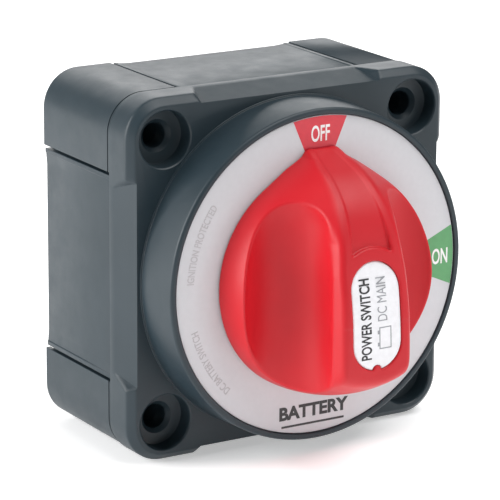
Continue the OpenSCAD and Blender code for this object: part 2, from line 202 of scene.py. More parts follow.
def loft(name, rings, smooth=35):
    """Closed rings of equal length joined in order, with a cap on the first and last."""
    count = len(rings[0])
    points = [p for ring in rings for p in ring]
    faces = [list(range(count))[::-1]]
    for k in range(len(rings) - 1):
        a, b = k * count, (k + 1) * count
        for i in range(count):
            n = (i + 1) % count
            faces.append([a + i, a + n, b + n, b + i])
    faces.append([len(points) - count + i for i in range(count)])
    return make(name, points, faces, smooth)


def prism(name, outline, z0, z1, smooth=35):
    """Solid with one outline from z0 to z1."""
    rings = [[(x, y, z) for x, y in outline] for z in (z0, z1)]
    return loft(name, rings, smooth)


def box(name, x0, x1, y0, y1, z0, z1):
    """Plain block, used as a cutter."""
    return prism(name, [(x0, y0), (x1, y0), (x1, y1), (x0, y1)], z0, z1)


def disc(x, y, r, sides=48):
    """Outline of a circle."""
    angles = [2 * math.pi * i / sides for i in range(sides)]
    return [(x + r * math.cos(a), y + r * math.sin(a)) for a in angles]


def arc(cx, cz, r, start, end, steps):
    """Points on a circle, by angle in degrees from start to end."""
    found = []
    for i in range(steps + 1):
        a = math.radians(start + (end - start) * i / steps)
        found.append((cx + r * math.cos(a), cz + r * math.sin(a)))
    return found


def round_square(half, r, steps=10):
    """Outline of a square with round corners."""
    found = []
    for turn in range(4):
        a = math.pi / 2 * turn
        c, s = math.cos(a), math.sin(a)
        for x, y in arc(half - r, half - r, r, 0, 90, steps):
            found.append((c * x - s * y, s * x + c * y))
    return found


def turned(points, quarter):
    """Points turned about the z axis by quarter turns."""
    a = math.pi / 2 * quarter
    c, s = round(math.cos(a)), round(math.sin(a))
    return [(c * x - s * y, s * x + c * y, z) for x, y, z in points]


def from_node(node, name):
    """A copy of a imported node's mesh with its flat faces merged again."""
    source = frame["nodes"][node]
    piece = bpy.data.objects.new(name, source.data.copy())
    piece.data.materials.clear()
    bpy.context.scene.collection.objects.link(piece)
    bm = bmesh.new()
    bm.from_mesh(piece.data)
    bmesh.ops.remove_doubles(bm, verts=bm.verts, dist=1e-6)
    bmesh.ops.dissolve_limit(bm, angle_limit=math.radians(0.6), verts=bm.verts, edges=bm.edges)
    bm.to_mesh(piece.data)
    bm.free()
    shade(piece, 35)
    return piece


# ---------------------------------------------------------------- shapes from a field

def smooth_max(a, b, k):
    """The larger of two fields, blended over the width k."""
    h = np.clip(0.5 + 0.5 * (a - b) / k, 0, 1)
    return b + (a - b) * h + k * h * (1 - h)


def smooth_min(a, b, k):
    """The smaller of two fields, blended over the width k."""
    return -smooth_max(-a, -b, k)


def net_points(values, low, step):
    """One vertex for each cell that the surface crosses, at the mean of its edge crossings."""
    inside = values < 0
    shape = [n - 1 for n in values.shape]
    total = np.zeros(shape + [3])
    count = np.zeros(shape)
    for axis in range(3):
        others = [k for k in range(3) if k != axis]
        for u in (0, 1):
            for v in (0, 1):
                lo = [slice(0, n) for n in shape]
                lo[others[0]] = slice(u, u + shape[others[0]])
                lo[others[1]] = slice(v, v + shape[others[1]])
                hi = list(lo)
                hi[axis] = slice(1, 1 + shape[axis])
                a, b = values[tuple(lo)], values[tuple(hi)]
                crossed = (a < 0) != (b < 0)
                t = np.where(crossed, a / np.where(crossed, a - b, 1), 0)
                total[..., axis] += t
                total[..., others[0]] += np.where(crossed, u, 0)
                total[..., others[1]] += np.where(crossed, v, 0)
                count += crossed
    active = count > 0
    index = np.full(shape, -1, np.int64)
    index[active] = np.arange(active.sum())
    cell = np.argwhere(active)
    mean = total[active] / count[active][:, None]
    return inside, index, (cell + mean) * step + np.asarray(low)


def net_faces(inside, index):
    """A quad round every grid edge that the surface crosses."""
    faces = []
    for axis in range(3):
        u, v = (axis + 1) % 3, (axis + 2) % 3
        lo = [slice(None)] * 3
        hi = [slice(None)] * 3
        lo[axis], hi[axis] = slice(0, -1), slice(1, None)
        a, b = inside[tuple(lo)], inside[tuple(hi)]
        cells = np.argwhere(a != b)
        keep = (cells[:, u] > 0) & (cells[:, v] > 0)
        keep &= (cells[:, u] < index.shape[u]) & (cells[:, v] < index.shape[v])
        cells = cells[keep]
        corners = []
        for du, dv in ((-1, -1), (0, -1), (0, 0), (-1, 0)):
            c = cells.copy()
            c[:, u] += du
            c[:, v] += dv
            corners.append(index[c[:, 0], c[:, 1], c[:, 2]])
        quads = np.stack(corners, 1)
        flip = ~a[cells[:, 0], cells[:, 1], cells[:, 2]]
        quads[flip] = quads[flip][:, ::-1]
        faces.append(quads)
    return np.concatenate(faces)


def settle(points, field, step, rounds=4):
    """Moves the vertices along the field's slope on to the surface."""
    d = 0.02
    for _ in range(rounds):
        f = field(*points.T)
        slope = np.stack([field(*(points + d * np.eye(3)[k]).T) - f for k in range(3)], 1) / d
        size = np.maximum((slope ** 2).sum(1), 0.2)
        points = points - np.clip(f / size, -step / 2, step / 2)[:, None] * slope
    return points


def field_mesh(name, field, low, high, step, smooth=0):
    """Mesh of the surface where a field is zero."""
    axes = [np.arange(a - step, b + 2 * step, step) for a, b in zip(low, high)]
    x, y, z = np.meshgrid(*axes, indexing="ij")
    values = field(x, y, z)
    inside, index, points = net_points(values, [a[0] for a in axes], step)
    faces = net_faces(inside, index)
    points = settle(points, field, step)
    return make(name, points, faces.tolist(), smooth)


# ---------------------------------------------------------------- knob

KNOB_R = 30.8
NOSE_X = 3.5
NOSE_Y = 32.9
NOSE_R = 2.0
ARCH_R = 108.0
ARCH_Y = -15.5
ARCH_H = 28.95 - ARCH_R
NOSE_ARC_R = 27
NOSE_ARC_Y = 6
NOSE_ARC_H = 0.9
NOSE_FIRST = math.radians(11.8)
NOSE_LAST = math.radians(66)
HEEL_Y = 13
HEEL_R = 10.2
HEEL_ROUND = 8.5
SCOOP_X = 21.3
SCOOP_H = 18.8
SCOOP_R = 11.3
LABEL_HALF = 7.3
LABEL_RISE = 0.45
FLANK_LEAN = 0.29
LABEL_CLEAR = 0.1
LABEL_DEEP = 1.85
RECESS_DEEP = 1.9
NOTCH_R = 1.3
SKIRT_R = 27.5
SKIRT_H = 5.9
BLADE_HOLLOW_X = 7.4
BLADE_HOLLOW_Y = 15
BLADE_HOLLOW_H = 21.9
HUB_R = 9.5
RIB_X = 1.1
SQUARE_HALF = 4.5
SQUARE_H = 10.5
SCREW_HEAD_R = 4.4
SCREW_HOLE_R = 2.2
SCREW_SEAT_H = 13.5
KNOB_STEP = 0.36
LABEL_STEP = 0.3


def flank_normal():
    """Direction square to the straight flank between the round body and the pointer."""
    towards = math.atan2(NOSE_Y, NOSE_X)
    open_angle = math.acos((KNOB_R - NOSE_R) / math.hypot(NOSE_X, NOSE_Y))
    return math.cos(towards - open_angle), math.sin(towards - open_angle)


def knob_plan(x, y):
    """Hull of the round body and the pointer's two rounded corners, seen from the front."""
    ax = np.abs(x)
    nx, ny = flank_normal()
    flank = ax * nx + y * ny - KNOB_R
    body = np.hypot(x, y) - KNOB_R
    along = (ax - NOSE_X) * -ny + (y - NOSE_Y) * nx
    corner = np.hypot(ax - NOSE_X, y - NOSE_Y) - NOSE_R
    tip = y - NOSE_Y - NOSE_R
    past = ax * -ny + y * nx
    side = np.where(along > 0, corner, flank)
    side = np.where((ax < NOSE_X) & (y > NOSE_Y - 6), np.maximum(tip, flank), side)
    return np.where(past > 0, side, body)


def knob_side(y, h):
    """Side view: the long top arc, the short arc at the heel and the slope to the tip."""
    top = np.hypot(y - ARCH_Y, h - ARCH_H) - ARCH_R
    dy, dh = y - NOSE_ARC_Y, h + NOSE_ARC_H
    angle = np.arctan2(dy, dh)
    nose = np.hypot(dy, dh) - NOSE_ARC_R
    before = dy * math.sin(NOSE_FIRST) + dh * math.cos(NOSE_FIRST) - NOSE_ARC_R
    after = dy * math.sin(NOSE_LAST) + dh * math.cos(NOSE_LAST) - NOSE_ARC_R
    nose = np.where(angle < NOSE_FIRST, before, np.where(angle > NOSE_LAST, after, nose))
    return np.maximum(top, nose)


def knob_heel(x, y, side):
    """The heel: rounded off in a half circle below the label."""
    ring = np.where(y < -HEEL_Y, np.hypot(x, y + HEEL_Y) - HEEL_R, np.abs(x) - HEEL_R)
    drop = side + HEEL_ROUND
    upper = np.hypot(np.maximum(ring, 0), np.maximum(drop, 0)) - HEEL_ROUND
    lower = (ring - HEEL_ROUND + drop * 1.3) * 0.6
    return np.where(y < -6, np.where(drop > 0, upper, lower), -50)


def blade_half(y):
    """Half width of the blade's top along its length."""
    stops = [-5, 7, 13, 19, 25, 28, 31, 34, 37]
    return np.interp(y, stops, [10.2, 9.8, 9.2, 8.5, 7.7, 7.4, 6.8, 5.9, 5.2])


def chamfer(x, y, h):
    """The slope down each side of the blade; it widens into the pointer's whole flank."""
    nx, ny = flank_normal()
    arch = ARCH_H + np.sqrt(ARCH_R ** 2 - (y - ARCH_Y) ** 2)
    nose = np.sqrt(np.maximum(NOSE_ARC_R ** 2 - (y - NOSE_ARC_Y) ** 2, 9)) - NOSE_ARC_H
    top = np.where(y > 11.5, np.minimum(arch, nose), arch)
    foot = (KNOB_R - y * ny) / nx
    shelf = np.interp(y, [10, 16, 19, 25, 31, 35], [SCOOP_H, 12, 9.5, 6.5, 1, -3])
    whole = np.clip((foot - blade_half(y)) / (top - shelf), 0.2, 1.0)
    ratio = FLANK_LEAN + (whole - FLANK_LEAN) * np.clip((y - 15) / 7, 0, 1)
    out = np.abs(x) - blade_half(y) - (top - h) * ratio
    return smooth_min(out / np.sqrt(1 + ratio ** 2), h - shelf, 1.0)


def bowl(x, y, h):
    """The finger scoops: round grooves beside the blade, closing towards the pointer."""
    out = np.abs(x) - SCOOP_X
    closing = 0.8 * np.maximum(y - 18, 0)
    groove = np.hypot(np.hypot(out, h - SCOOP_H), closing) - SCOOP_R
    return np.where(h > SCOOP_H, np.minimum(groove, -out), groove)


def obround(x, y, half_w, length, at):
    """Field of a strip with round ends along y."""
    run = length / 2 - half_w
    return np.hypot(x, np.maximum(np.abs(y - at) - run, 0)) - half_w


def label_plan(x, y, clear):
    """Field of the label seen from the front, with its lifting notch."""
    body = obround(x, y, LABEL_HALF + clear, LABEL_LONG + 2 * clear, LABEL_AT)
    notch = np.hypot(x, y - LABEL_AT + LABEL_LONG / 2) - NOTCH_R + clear
    return smooth_max(body, -notch, 0.3)


def thumb_trough(x, y, side):
    """Shallow dish from a curved ledge above the label to the pointer's tip."""
    depth = 1.1 * np.clip(1 - (y - 13) / 13, 0, 1)
    ledge = 13.4 - 0.05 * x * x
    plan = smooth_max(np.abs(x) - (blade_half(y) - 3.3), ledge - y, 1.2)
    return smooth_max(plan, -(side + depth), 0.35)


def knob_inside(x, y, h):
    """Hollow under the knob, with its hub, rib, square bore and screw seat."""
    r = np.hypot(x, y)
    skirt = np.maximum(r - SKIRT_R, h - SKIRT_H)
    blade = np.maximum(np.abs(x) - BLADE_HOLLOW_X, np.abs(y + 6) - BLADE_HOLLOW_Y)
    blade = np.maximum(blade, h - BLADE_HOLLOW_H)
    hollow = np.minimum(skirt, blade)
    hollow = np.maximum(hollow, HUB_R - r)
    hollow = np.maximum(hollow, RIB_X - np.abs(x))
    square = np.maximum(np.maximum(np.abs(x), np.abs(y)) - SQUARE_HALF, h - SQUARE_H)
    stem = r - np.where(h > SCREW_SEAT_H, SCREW_HEAD_R, SCREW_HOLE_R)
    return np.minimum(hollow, np.minimum(square, stem))


def knob_field(x, y, z):
    """The whole knob as one field, negative inside."""
    h = z - DIAL
    swell = np.interp(y, [-15, 10], [0.0105, 0.0185])
    lean = 2 * swell * np.maximum(h, 0)
    plan = (knob_plan(x, y) + lean * h / 2) / np.sqrt(1 + lean ** 2)
    side = knob_side(y, h)
    top = smooth_max(side, knob_heel(x, y, side), 0.6)
    body = smooth_max(plan, top, np.interp(y, [0, 22], [2.0, 0.7]))
    body = smooth_max(body, 0.4 - h, 0.5)
    body = smooth_max(body, chamfer(x, y, h), 1.5)
    body = smooth_max(body, -bowl(x, y, h), 0.7)
    body = smooth_max(body, -thumb_trough(x, y, side), 0.6)
    recess = smooth_max(label_plan(x, y, LABEL_CLEAR), -(side + RECESS_DEEP), 0.3)
    body = smooth_max(body, -recess, 0.35)
    return smooth_max(body, -knob_inside(x, y, h), 0.2)


def build_knob(step):
    """The knob, meshed at the given step."""
    low = (-KNOB_R - 0.5, -KNOB_R - 0.5, KNOB_BASE - 0.5)
    high = (KNOB_R + 0.5, 36, DIAL + 29.5)
    return field_mesh("knob_body", knob_field, low, high, step)


def label_field(x, y, z):
    """The label insert as a field; its face follows the knob's arch."""
    side = knob_side(y, z - DIAL)
    top = side + LABEL_RISE
    bottom = -(side + LABEL_DEEP)
    plate = np.maximum(label_plan(x, y, 0), bottom)
    return smooth_max(plate, top, 0.35)


def build_label(step):
    """The label insert, meshed at the given step."""
    low = (-7.6, LABEL_AT - 14.5, DIAL + 23)
    high = (7.6, LABEL_AT + 14.5, DIAL + 29.5)
    return field_mesh("label_insert", label_field, low, high, step)


# ---------------------------------------------------------------- case

FLAT_START = SEAM + 2.1
FLAT_INSET = 2.3
SHAFT_R = 8.05
SEAL_R = 10.4
CASE_SCREW_R = 1.56
POCKET_AT = 38.05
POCKET_R = 2.65
LIP = 0.42
COVER_END = 0.6
RIB_AT = 9
RIB_HALF = 0.6


def plate_ring(z, inset):
    """Outline of the front plate at one depth, with the long flat cut into each side."""
    share = min(max((z - FLAT_START) / (FRONT - FLAT_START), 0), 1.2)
    half = CASE_HALF - inset
    r = CASE_R - inset
    start = 25 + 2.5 * share
    flat = CASE_HALF - FLAT_INSET * share
    quarter = []
    for t in (-12, -4, -0.5, 0, 0.35, 0.75, 1.2, 1.7, 2.3, 3.1):
        x = start + t
        rise = max(t, 0) * 0.9 + max(t, 0) ** 2 * 0.15
        quarter.append((x, min(half, flat + rise)))
    side = [(-x, y) for x, y in quarter[::-1]] + quarter
    side = [(-x, y) for x, y in side]
    ring = []
    for turn in range(4):
        a = math.pi / 2 * turn
        c, s = math.cos(a), math.sin(a)
        corner = arc(half - r, half - r, r, 0, 90, 12)
        for x, y in corner + side:
            ring.append((c * x - s * y, s * x + c * y, z))
    return ring


def build_plate():
    """Front plate with its rounded front edge, before any hole."""
    rows = [(SEAM, 0.3), (SEAM + 0.06, 0.12), (SEAM + 0.2, 0.02), (SEAM + 0.4, 0)]
    rows += [(FLAT_START, 0), (FLAT_START + 0.8, 0), (40.5, 0), (42.5, 0), (44.0, 0)]
    rows += [(44.8, 0.01), (45.05, 0.08), (45.3, 0.25), (45.8, 0.72), (46.4, 1.3)]
    rows += [(46.8, 1.68), (47.0, 1.92), (47.07, 2.1), (47.1, 2.35)]
    return loft("case_front", [plate_ring(z, i) for z, i in rows], 28)


def build_bezel():
    """Round bezel with the chamber behind, the dial seat and the shaft hole."""
    edge = DIAL_R + 0.12
    profile = [(SHAFT_R, CHAMBER_TOP), (CHAMBER_R, CHAMBER_TOP), (CHAMBER_R, SEAM + 0.02)]
    profile += [(45.0, SEAM + 0.02), (45.95, FRONT - 0.5), (45.95, FRONT + 0.2)]
    profile += [(45.85, FRONT + 0.32), (45.6, FRONT + 0.34), (45.5, FRONT + 0.5)]
    profile += arc(44.1, RIM - 0.9, 0.9, 2, 90, 6)
    profile += arc(edge + 0.35, RIM - 0.35, 0.35, 90, 180, 4)
    profile += [(edge, DIAL_SEAT), (SEAL_R, DIAL_SEAT), (SHAFT_R, DIAL_SEAT)]
    profile += [(SHAFT_R, 59.4), (SEAL_R, 59.4), (SEAL_R, 57.2), (SHAFT_R, 57.2)]
    return lathe("bezel", profile, sides=160, smooth=28)


def counterbore(x, y):
    """Cutter for one mounting hole and its counterbore."""
    profile = [(0, SEAM - 1), (MOUNT_R, SEAM - 1), (MOUNT_R, CBORE_FLOOR - 1.2)]
    profile += [(MOUNT_R + 0.25, CBORE_FLOOR - 0.9), (MOUNT_R + 1.1, CBORE_FLOOR)]
    profile += [(CBORE_R - 0.4, CBORE_FLOOR), (CBORE_R - 0.1, CBORE_FLOOR + 0.1)]
    profile += [(CBORE_R, CBORE_FLOOR + 0.4), (CBORE_R, FRONT - 0.45)]
    profile += [(CBORE_R + 0.12, FRONT - 0.2), (CBORE_R + 0.4, FRONT + 0.01)]
    profile += [(CBORE_R + 0.8, FRONT + 1), (0, FRONT + 1)]
    return lathe("tool", profile, (x, y), 64, closed=False)


def corners(distance):
    """The four points at that distance from both middle lines."""
    return [(i * distance, j * distance) for i in (-1, 1) for j in (-1, 1)]


def build_front():
    """Front housing: plate and bezel in one, with all holes cut."""
    plate = build_plate()
    cut(plate, prism("tool", disc(0, 0, 44.2, 160), SEAM - 1, FRONT + 1))
    combine(plate, build_bezel(), "UNION")
    for x, y in corners(MOUNT_AT):
        cut(plate, counterbore(x, y))
    for x, y in corners(CASE_SCREW_AT):
        cut(plate, prism("tool", disc(x, y, CASE_SCREW_R, 24), SEAM - 1, 41.5))
    for x, y in ((POCKET_AT, 0), (-POCKET_AT, 0), (0, POCKET_AT), (0, -POCKET_AT)):
        cut(plate, prism("tool", disc(x, y, POCKET_R, 32), 45, 52))
    shade(plate, 28)
    return plate


def seam_ring(z0, z1):
    """Square ring that cuts a fine line round the outside of the case."""
    ring = prism("tool", round_square(BASE_HALF + 2, CASE_R + 2), z0, z1)
    return cut(ring, prism("tool", round_square(BASE_HALF - 0.7, CASE_R - 0.9), z0 - 1, z1 + 1))


def build_base():
    """The rear body, with the two fine seam lines round its front edge."""
    base = from_node("rear_base", "case_base")
    bevel(base, 0.3, 2, 40)
    cut(base, seam_ring(SEAM - 1.3, SEAM - 0.85), seam_ring(SEAM - 0.35, SEAM + 0.2))
    shade(base, 35)
    return base


def cover_profile():
    """Half of a cover's cross-section: flat, ramp and raised lip, then the tongue."""
    lip = COVER_OUT + LIP
    low = COVER_OUT - 0.02
    right = [(COVER_HALF - 4.4, low), (COVER_HALF - 4.1, low + 0.03)]
    right += [(COVER_HALF - 1.35, lip - 0.2), (COVER_HALF - 1.1, lip), (COVER_HALF, lip)]
    right += [(COVER_HALF, COVER_IN + 0.9), (COVER_HALF + 1.7, COVER_IN + 0.9)]
    right += [(COVER_HALF + 1.7, COVER_IN + 0.15), (COVER_HALF - 0.3, COVER_IN + 0.15)]
    right += [(COVER_HALF - 0.3, COVER_IN)]
    return right


def build_cover(name, quarter):
    """One side cover with its two inner ribs; quarter 0 is top, 1 left, 2 bottom, 3 right."""
    right = cover_profile()
    left = [(-x, y) for x, y in right[::-1]]
    ends = (COVER_END, SEAM - 0.3)
    rings = [turned([(x, y, z) for x, y in left + right], quarter) for z in ends]
    cover = loft(name, rings)
    for x in (-RIB_AT, RIB_AT):
        rib = [(x - RIB_HALF, COVER_IN - 1), (x + RIB_HALF, COVER_IN - 1)]
        rib += [(x + RIB_HALF, COVER_IN + 0.5), (x - RIB_HALF, COVER_IN + 0.5)]
        ring = [turned([(u, v, z) for u, v in rib], quarter) for z in (3, 27)]
        combine(cover, loft("rib", ring), "UNION")
    return bevel(cover, 0.22, 2, 30)


def build_dial():
    """Printed disc with softened edges."""
    profile = [(12, DIAL_SEAT), (DIAL_R - 0.15, DIAL_SEAT), (DIAL_R, DIAL_SEAT + 0.15)]
    profile += [(DIAL_R, DIAL - 0.2), (DIAL_R - 0.06, DIAL - 0.06), (DIAL_R - 0.2, DIAL)]
    profile += [(12.2, DIAL), (12, DIAL - 0.2)]
    return lathe("dial_disc", profile, sides=160, smooth=40)


# ---------------------------------------------------------------- printing

PRINT_BELOW = DIAL - 0.05
FIELD_TOP = DIAL + 0.03
WORD_TOP = DIAL + 0.02
NOTE_R = 38.9
SLICE = 1.2


def sector(name, inner, quarter):
    """Coloured field on the dial, wider at the rim."""
    outer = DIAL_R - 0.2
    wide = 8.2
    narrow = 4.4 + (inner - 33.5) * 0.4
    spread = math.degrees(math.asin(wide / outer))
    edge = arc(0, 0, outer, 90 - spread, 90 + spread, 16)
    outline = edge + [(-narrow, inner), (narrow, inner)]
    levels = (PRINT_BELOW, FIELD_TOP)
    rings = [turned([(x, y, z) for x, y in outline], quarter) for z in levels]
    return loft(name, rings)


def bar(name, across, up):
    """Thin printed rule on the dial."""
    left, right = across
    low, high = up
    outline = [(left, low), (right, low), (right, high), (left, high)]
    return prism(name, outline, PRINT_BELOW, WORD_TOP)


def curved(x, y, radius, middle):
    """Bends a line of text round the dial; middle is its centre angle in degrees."""
    angle = math.radians(middle) - x / radius
    return (radius + y) * math.cos(angle), (radius + y) * math.sin(angle)


def lettering(name, text, size, at, bold, stretch=1.0, turn=0, shape=None,
              top=DIAL + 0.05, ring=None):
    """Printed words; shape gives the height along y, ring bends them round the dial."""
    curve = bpy.data.curves.new(name, "FONT")
    curve.body = text
    curve.size = size * MM
    curve.align_x = "CENTER"
    curve.align_y = "CENTER"
    curve.offset = bold * MM
    curve.extrude = 0.02 * MM
    curve.resolution_u = 6
    source = bpy.data.objects.new(name + "_line", curve)
    bpy.context.scene.collection.objects.link(source)
    graph = bpy.context.evaluated_depsgraph_get()
    mesh = bpy.data.meshes.new_from_object(source.evaluated_get(graph))
    bpy.data.objects.remove(source)
    piece = bpy.data.objects.new(name, mesh)
    bpy.context.scene.collection.objects.link(piece)
    bm = bmesh.new()
    bm.from_mesh(mesh)
    bmesh.ops.remove_doubles(bm, verts=bm.verts, dist=1e-7)
    c, s = math.cos(math.radians(turn)), math.sin(math.radians(turn))
    for v in bm.verts:
        x, y, z = v.co[0] / MM * stretch, v.co[1] / MM, v.co[2] / MM
        if ring:
            x, y = curved(x, y, *ring)
        v.co = (at[0] + c * x - s * y, at[1] + s * x + c * y, z)
    if shape:
        for k in range(-30, 31):
            geom = bm.verts[:] + bm.edges[:] + bm.faces[:]
            at_line = (0, k * SLICE, 0)
            bmesh.ops.bisect_plane(bm, geom=geom, plane_co=at_line, plane_no=(0, 1, 0))
    for v in bm.verts:
        x, y, z = v.co
        rest = shape(y) if shape else top
        v.co = (x * MM, -(rest + z) * MM, y * MM)
    bmesh.ops.recalc_face_normals(bm, faces=bm.faces)
    bm.to_mesh(mesh)
    bm.free()
    return piece


def label_top(y):
    """Height of the label's printed face above the back plane, at y."""
    return DIAL + ARCH_H + math.sqrt((ARCH_R - LABEL_RISE) ** 2 - (y - ARCH_Y) ** 2) + 0.02


def label_bar(x0, x1, y0, y1):
    """One stroke of the pictogram, following the label's curve."""
    ends = [(x0, y0), (x1, y0), (x1, y1), (x0, y1)]
    return loft("bar", [[(x, y, label_top(y) + z) for x, y in ends] for z in (-0.1, 0.01)])


def build_pictogram():
    """Small battery outline with its two posts, printed at the label's lower end."""
    bars = [(0.6, 0.9, -12.8, -9.9), (0.6, 0.9, -9.9, -7.0)]
    bars += [(4.0, 4.3, -12.8, -9.9), (4.0, 4.3, -9.9, -7.0)]
    bars += [(0.6, 4.3, -12.8, -12.5), (0.6, 4.3, -7.3, -7.0)]
    bars += [(0.1, 0.6, -12.0, -11.0), (0.1, 0.6, -8.8, -7.8)]
    return join("label_battery", [label_bar(*bar) for bar in bars])


# ---------------------------------------------------------------- terminals

STUD_X = 22.5
STUD_R = 5.0
STUD_END = 5.0
STUD_TOP = 33.0
PITCH = 1.5
HEAD_HALF = 7.5
NUT_Z = (17.0, 25.0)
NUT_CORNER = 9.815
SPRING_WASHER_Z = (25.0, 27.4)
FLAT_WASHER_Z = (27.4, 29.4)
SPRING_WASHER_R = 9
FLAT_WASHER_R = 10
WASHER_BORE_R = 5.25
SPLIT = 1.2


def build_stud(name, x):
    """Round stud with a rolled thread: a ridge that climbs as it goes round."""
    sides, per_pitch = 48, 6
    z0, z1 = STUD_END, STUD_TOP
    rows = int((z1 - z0) / PITCH * per_pitch)
    rings = []
    for k in range(rows + 1):
        z = z0 + (z1 - z0) * k / rows
        lead = min((z - z0) / 1.2, 1)
        ring = []
        for i in range(sides):
            a = 2 * math.pi * i / sides
            phase = (z / PITCH - i / sides) % 1.0
            ridge = abs(phase - 0.5) * 2
            r = STUD_R - 0.06 - 0.62 * ridge
            r = min(r, 4.0 + 0.94 * lead)
            ring.append((x + r * math.cos(a), r * math.sin(a), z))
        rings.append(ring)
    stud = loft(name, rings, 50)
    outline = [(x + u, v) for u, v in round_square(HEAD_HALF, 0.6, 3)]
    head = prism("head", outline, STUD_TOP - 0.1, SEAM)
    return combine(stud, head, "UNION")


def build_nut(name, x):
    """Hexagon nut with chamfered corners and bore."""
    z0, z1 = NUT_Z
    nut = prism("nut", disc(x, 0, NUT_CORNER, 6), z0, z1, 25)
    crown = [(0, z0), (8.1, z0), (9.9, z0 + 1.05), (9.9, z1 - 0.6), (9.0, z1), (0, z1)]
    combine(nut, lathe("crown", crown, (x, 0), 96, closed=False), "INTERSECT")
    bore = [(0, z0 - 1), (5.9, z0 - 1), (5.7, z0), (5.02, z0 + 0.7), (5.02, z1 - 0.7)]
    bore += [(5.7, z1), (5.9, z1 + 1), (0, z1 + 1)]
    cut(nut, lathe("bore", bore, (x, 0), 48, closed=False))
    nut.name = name
    shade(nut, 25)
    return nut


def build_washer(name, x, outer, levels, split=0):
    """Washer with softened edges, split if asked."""
    z0, z1 = levels
    e = 0.25
    profile = [(WASHER_BORE_R, z0), (outer - e, z0), (outer, z0 + e), (outer, z1 - e)]
    profile += [(outer - e, z1), (WASHER_BORE_R, z1)]
    washer = lathe(name, profile, (x, 0), 64)
    if split:
        cut(washer, box("slot", x + 3, x + 12, -split / 2, split / 2, z0 - 1, z1 + 1))
        shade(washer, 35)
    return washer


def join(name, parts):
    """Several pieces made into one."""
    meshes = [p.data for p in parts]
    bm = bmesh.new()
    for m in meshes:
        bm.from_mesh(m)
    joined = bpy.data.meshes.new(name)
    bm.to_mesh(joined)
    bm.free()
    for p in parts:
        bpy.data.objects.remove(p)
    piece = bpy.data.objects.new(name, joined)
    bpy.context.scene.collection.objects.link(piece)
    return piece


# ---------------------------------------------------------------- materials

class Nodes:
    """Small wrapper that adds and links shader nodes."""

    def __init__(self, name):
        self.material = bpy.data.materials.new(name)
        self.material.use_nodes = True
        self.tree = self.material.node_tree
        self.shader = self.tree.nodes["Principled BSDF"]

    def add(self, kind, inputs=None, **settings):
        """New node; an input is a value or another node's output."""
        node = self.tree.nodes.new(kind)
        for key, value in settings.items():
            setattr(node, key, value)
        for key, value in (inputs or {}).items():
            if isinstance(value, bpy.types.NodeSocket):
                self.tree.links.new(value, node.inputs[key])
            else:
                node.inputs[key].default_value = value
        return node

    def noise(self, scale, detail=2.0, rough=0.5):
        """Noise in object space."""
        place = self.add("ShaderNodeTexCoord").outputs["Object"]
        values = {"Vector": place, "Scale": scale, "Detail": detail, "Roughness": rough}
        return self.add("ShaderNodeTexNoise", values).outputs["Fac"]

    def between(self, value, low, high, start=0.3, end=0.7):
        """Value mapped from start and end to low and high."""
        values = {"Value": value, "From Min": start, "From Max": end}
        values.update({"To Min": low, "To Max": high})
        return self.add("ShaderNodeMapRange", values).outputs["Result"]

    def ramp(self, value, first, second, start=0.3, end=0.7):
        """Value mapped to a colour between first and second."""
        node = self.add("ShaderNodeValToRGB", {"Fac": value})
        node.color_ramp.elements[0].position = start
        node.color_ramp.elements[0].color = (*first, 1)
        node.color_ramp.elements[1].position = end
        node.color_ramp.elements[1].color = (*second, 1)
        return node.outputs["Color"]

    def bump(self, height, strength, distance, before=None):
        """Bumped normal, on top of the one before."""
        values = {"Height": height, "Strength": strength, "Distance": distance}
        if before is not None:
            values["Normal"] = before
        return self.add("ShaderNodeBump", values).outputs["Normal"]

    def set(self, **values):
        """Fills the shader's inputs and hands back the material."""
        for key, value in values.items():
            socket = self.shader.inputs[key.replace("_", " ")]
            if isinstance(value, bpy.types.NodeSocket):
                self.tree.links.new(value, socket)
            else:
                socket.default_value = value
        return self.material


def moulded(name, low, high, rough, grain, depth, mottle=60, shine=0.4):
    """Moulded plastic: a fine eroded grain, faint tone changes and uneven gloss."""
    n = Nodes(name)
    tone = n.ramp(n.noise(mottle, 3), low, high)
    gloss = n.between(n.noise(mottle * 3, 4, 0.6), rough - 0.04, rough + 0.05)
    fine = n.bump(n.noise(grain, 3, 0.6), 0.5, depth)
    wide = n.bump(n.noise(grain / 22, 2), 0.25, depth * 5, fine)
    return n.set(Base_Color=tone, Roughness=gloss, Normal=wide, Specular_IOR_Level=shine)


def printed(name, colour, rough=0.45, spread=0.04):
    """Screen-printed ink: slightly uneven cover with a fine dotted edge to its gloss."""
    n = Nodes(name)
    low = tuple(c * (1 - spread) for c in colour)
    high = tuple(min(c * (1 + spread), 1) for c in colour)
    tone = n.ramp(n.noise(700, 3), low, high)
    gloss = n.between(n.noise(2500, 2), rough - 0.05, rough + 0.05)
    fine = n.bump(n.noise(5200, 2), 0.3, 0.000006)
    return n.set(Base_Color=tone, Roughness=gloss, Normal=fine)


def metal(name, low, high, rough, scratch=(60, 60, 1800), depth=0.000006):
    """Worked metal: stretched scratches, patchy tarnish and dull spots."""
    n = Nodes(name)
    place = n.add("ShaderNodeTexCoord").outputs["Object"]
    stretched = n.add("ShaderNodeMapping", {"Vector": place, "Scale": scratch})
    lines = n.add("ShaderNodeTexNoise", {"Vector": stretched.outputs["Vector"], "Scale": 8.0})
    tone = n.ramp(n.noise(240, 4, 0.65), low, high)
    gloss = n.between(n.noise(420, 3), rough - 0.08, rough + 0.1)
    fine = n.bump(lines.outputs["Fac"], 0.35, depth)
    return n.set(Base_Color=tone, Metallic=1.0, Roughness=gloss, Normal=fine)


